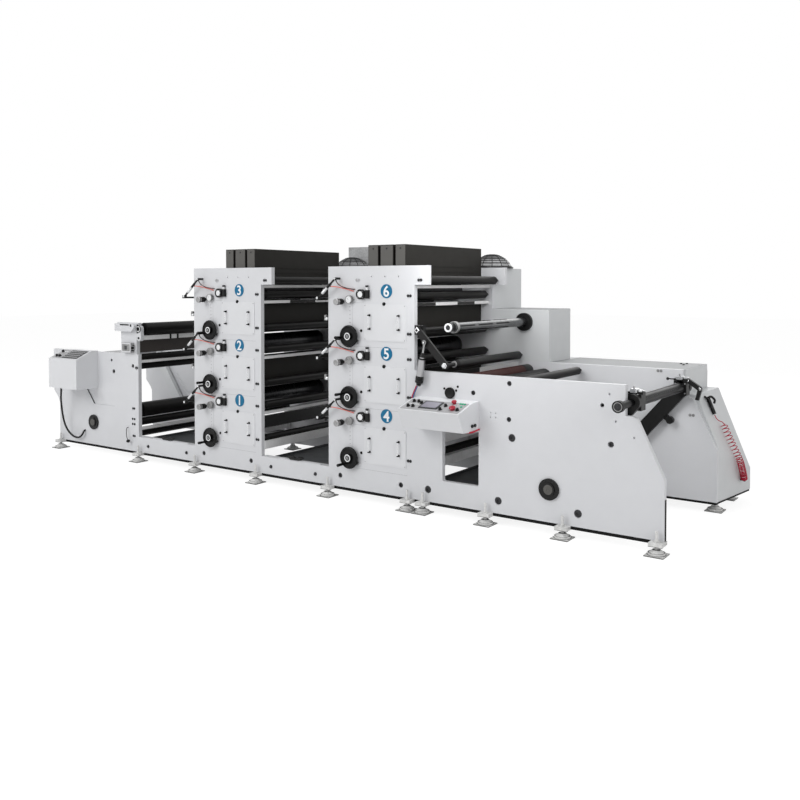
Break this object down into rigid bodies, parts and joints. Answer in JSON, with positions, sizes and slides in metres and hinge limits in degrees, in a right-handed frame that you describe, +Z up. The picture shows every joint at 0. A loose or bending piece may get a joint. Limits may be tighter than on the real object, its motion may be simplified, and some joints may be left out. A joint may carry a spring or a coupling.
{
  "type": "flexographic printing press",
  "caption": "Stack-type flexographic web press: unwinder with web guide, two towers of printing units with drying hoods, and a rewinder with lifting arms, between near and far side plates",
  "frame": {"origin": "centre of the footprint at floor level", "axes": "+X along the web from unwinder to rewinder, -Y towards the operator, +Z up"},
  "size_m": [7.0261, 2.185, 2.19],
  "materials": {
    "unwinder_near_plate": "light grey enamel",
    "unwinder_far_plate": "light grey enamel",
    "unwinder_rollers": "black anodised, satin",
    "unwinder_reel_arms": "black enamel",
    "unwind_shaft": "ground",
    "unwinder_control_box": "light grey enamel",
    "control_box_cable": "black sheath",
    "web_guide_frame": "light grey enamel",
    "web_guide_sheet": "dark grey-brown sheet",
    "web_guide_rollers": "black anodised, satin",
    "web_guide_display": "black with bare metal ends",
    "base_rails": "light grey enamel",
    "tray_latches": "black enamel",
    "drip_trays": "dark enamel",
    "levelling_feet": "light grey and bare steel",
    "bearing_covers": "black enamel",
    "tower_1_near_plate": "light grey enamel",
    "tower_2_near_plate": "light grey enamel",
    "tower_1_far_plate": "light grey enamel",
    "tower_2_far_plate": "light grey enamel",
    "impression_cylinders": "ground and chromed",
    "plate_cylinders": "photopolymer plate on steel",
    "anilox_rollers": "engraved ceramic",
    "metering_rollers": "rubber covered",
    "ink_pans": "stainless sheet",
    "tower_guide_rollers": "black anodised, satin",
    "tie_bars": "satin",
    "drying_hoods": "dark powder coat",
    "access_doors": "light grey enamel",
    "door_handles": "polished with black ends",
    "unit_number_discs": "blue enamel",
    "unit_gauges": "light grey enamel",
    "unit_knobs": "black with bare metal ends",
    "register_clamps": "black with bare metal ends",
    "throw_off_levers": "anodised",
    "unit_air_hoses": "polyurethane tube",
    "handwheel_1": "black moulded",
    "handwheel_2": "black moulded",
    "handwheel_3": "black moulded",
    "handwheel_4": "black moulded",
    "handwheel_5": "black moulded",
    "handwheel_6": "black moulded",
    "rewinder_near_plate": "light grey enamel",
    "rewinder_far_plate": "light grey enamel",
    "rewinder_rollers": "black anodised, satin",
    "rewinder_rubber_roller": "dark red-brown rubber",
    "winding_arms": "black enamel",
    "winding_shaft": "ground",
    "main_console": "light grey enamel",
    "reel_spindle": "polished",
    "spindle_socket": "black enamel",
    "tension_arm": "black enamel",
    "tension_cylinder": "anodised",
    "tension_rod": "polished",
    "tower_drive_cabinets": "light grey enamel",
    "rewinder_drive_cabinets": "light grey enamel",
    "blower_covers": "mottled grey",
    "air_gun": "black moulded",
    "air_gun_lead": "red polyurethane",
    "air_gun_coil": "red polyurethane"
  },
  "bodies": {
    "root": {"unwinder_near_plate": "unwinder_near_plate", "unwinder_far_plate": "unwinder_far_plate", "unwinder_rollers": "unwinder_rollers", "unwinder_reel_arms": "unwinder_reel_arms", "unwind_shaft": "unwind_shaft", "unwinder_control_box": "unwinder_control_box", "control_box_cable": "control_box_cable", "web_guide_frame": "web_guide_frame", "web_guide_sheet": "web_guide_sheet", "web_guide_rollers": "web_guide_rollers", "web_guide_display": "web_guide_display", "base_rails": "base_rails", "tray_latches": "tray_latches", "drip_trays": "drip_trays", "levelling_feet": "levelling_feet", "bearing_covers": "bearing_covers", "tower_1_near_plate": "tower_1_near_plate", "tower_2_near_plate": "tower_2_near_plate", "tower_1_far_plate": "tower_1_far_plate", "tower_2_far_plate": "tower_2_far_plate", "impression_cylinders": "impression_cylinders", "plate_cylinders": "plate_cylinders", "anilox_rollers": "anilox_rollers", "metering_rollers": "metering_rollers", "ink_pans": "ink_pans", "tower_guide_rollers": "tower_guide_rollers", "tie_bars": "tie_bars", "drying_hoods": "drying_hoods", "access_doors": "access_doors", "door_handles": "door_handles", "unit_number_discs": "unit_number_discs", "unit_gauges": "unit_gauges", "unit_knobs": "unit_knobs", "register_clamps": "register_clamps", "throw_off_levers": "throw_off_levers", "unit_air_hoses": "unit_air_hoses", "rewinder_near_plate": "rewinder_near_plate", "rewinder_far_plate": "rewinder_far_plate", "rewinder_rollers": "rewinder_rollers", "rewinder_rubber_roller": "rewinder_rubber_roller", "main_console": "main_console", "spindle_socket": "spindle_socket", "tower_drive_cabinets": "tower_drive_cabinets", "rewinder_drive_cabinets": "rewinder_drive_cabinets", "blower_covers": "blower_covers", "air_gun": "air_gun", "air_gun_lead": "air_gun_lead", "air_gun_coil": "air_gun_coil"},
    "handwheel_1": {"handwheel_1": "handwheel_1"},
    "handwheel_2": {"handwheel_2": "handwheel_2"},
    "handwheel_3": {"handwheel_3": "handwheel_3"},
    "handwheel_4": {"handwheel_4": "handwheel_4"},
    "handwheel_5": {"handwheel_5": "handwheel_5"},
    "handwheel_6": {"handwheel_6": "handwheel_6"},
    "winding_arms": {"winding_arms": "winding_arms"},
    "winding_shaft": {"winding_shaft": "winding_shaft"},
    "reel_spindle": {"reel_spindle": "reel_spindle"},
    "tension_arm": {"tension_arm": "tension_arm"},
    "tension_cylinder": {"tension_cylinder": "tension_cylinder"},
    "tension_rod": {"tension_rod": "tension_rod"}
  },
  "joints": [
    {"name": "handwheel_1_turn", "type": "hinge", "parent": "root", "child": "handwheel_1", "pos_m": [-0.9445, -0.7975, 0.351], "axis": [0, -1, 0], "continuous": true},
    {"name": "handwheel_2_turn", "type": "hinge", "parent": "root", "child": "handwheel_2", "pos_m": [-0.9445, -0.7975, 0.859], "axis": [0, -1, 0], "continuous": true},
    {"name": "handwheel_3_turn", "type": "hinge", "parent": "root", "child": "handwheel_3", "pos_m": [-0.9445, -0.7975, 1.367], "axis": [0, -1, 0], "continuous": true},
    {"name": "handwheel_4_turn", "type": "hinge", "parent": "root", "child": "handwheel_4", "pos_m": [0.7405, -0.7975, 0.351], "axis": [0, -1, 0], "continuous": true},
    {"name": "handwheel_5_turn", "type": "hinge", "parent": "root", "child": "handwheel_5", "pos_m": [0.7405, -0.7975, 0.859], "axis": [0, -1, 0], "continuous": true},
    {"name": "handwheel_6_turn", "type": "hinge", "parent": "root", "child": "handwheel_6", "pos_m": [0.7405, -0.7975, 1.367], "axis": [0, -1, 0], "continuous": true},
    {"name": "winding_arms_lift", "type": "hinge", "parent": "root", "child": "winding_arms", "pos_m": [2.5635, -0.155, 0.328], "axis": [0, 1, 0], "range_deg": [0, 40]},
    {"name": "winding_shaft_turn", "type": "hinge", "parent": "winding_arms", "child": "winding_shaft", "pos_m": [3.15307, -0.155, 0.99204], "axis": [0, 1, 0], "continuous": true},
    {"name": "reel_spindle_turn", "type": "hinge", "parent": "root", "child": "reel_spindle", "pos_m": [1.7175, 0.4475, 1.466], "axis": [0, 1, 0], "continuous": true},
    {"name": "tension_arm_swing", "type": "hinge", "parent": "root", "child": "tension_arm", "pos_m": [1.4315, -0.155, 1.438], "axis": [0, 1, 0], "range_deg": [-5, 5]},
    {"name": "tension_cylinder_tilt", "type": "hinge", "parent": "root", "child": "tension_cylinder", "pos_m": [1.4575, -0.8435, 1.015], "axis": [0, 1, 0], "range_deg": [-2, 2]},
    {"name": "tension_rod_slide", "type": "slide", "parent": "tension_cylinder", "child": "tension_rod", "axis": [0.1639, 0, 0.9865], "range_m": [-0.012, 0.012]}
  ],
  "couplings": [
    {"joint": "tension_cylinder_tilt", "follows": "tension_arm_swing", "ratio": -0.2309},
    {"joint": "tension_rod_slide", "follows": "tension_arm_swing", "m_per_rad": -0.095}
  ]
}
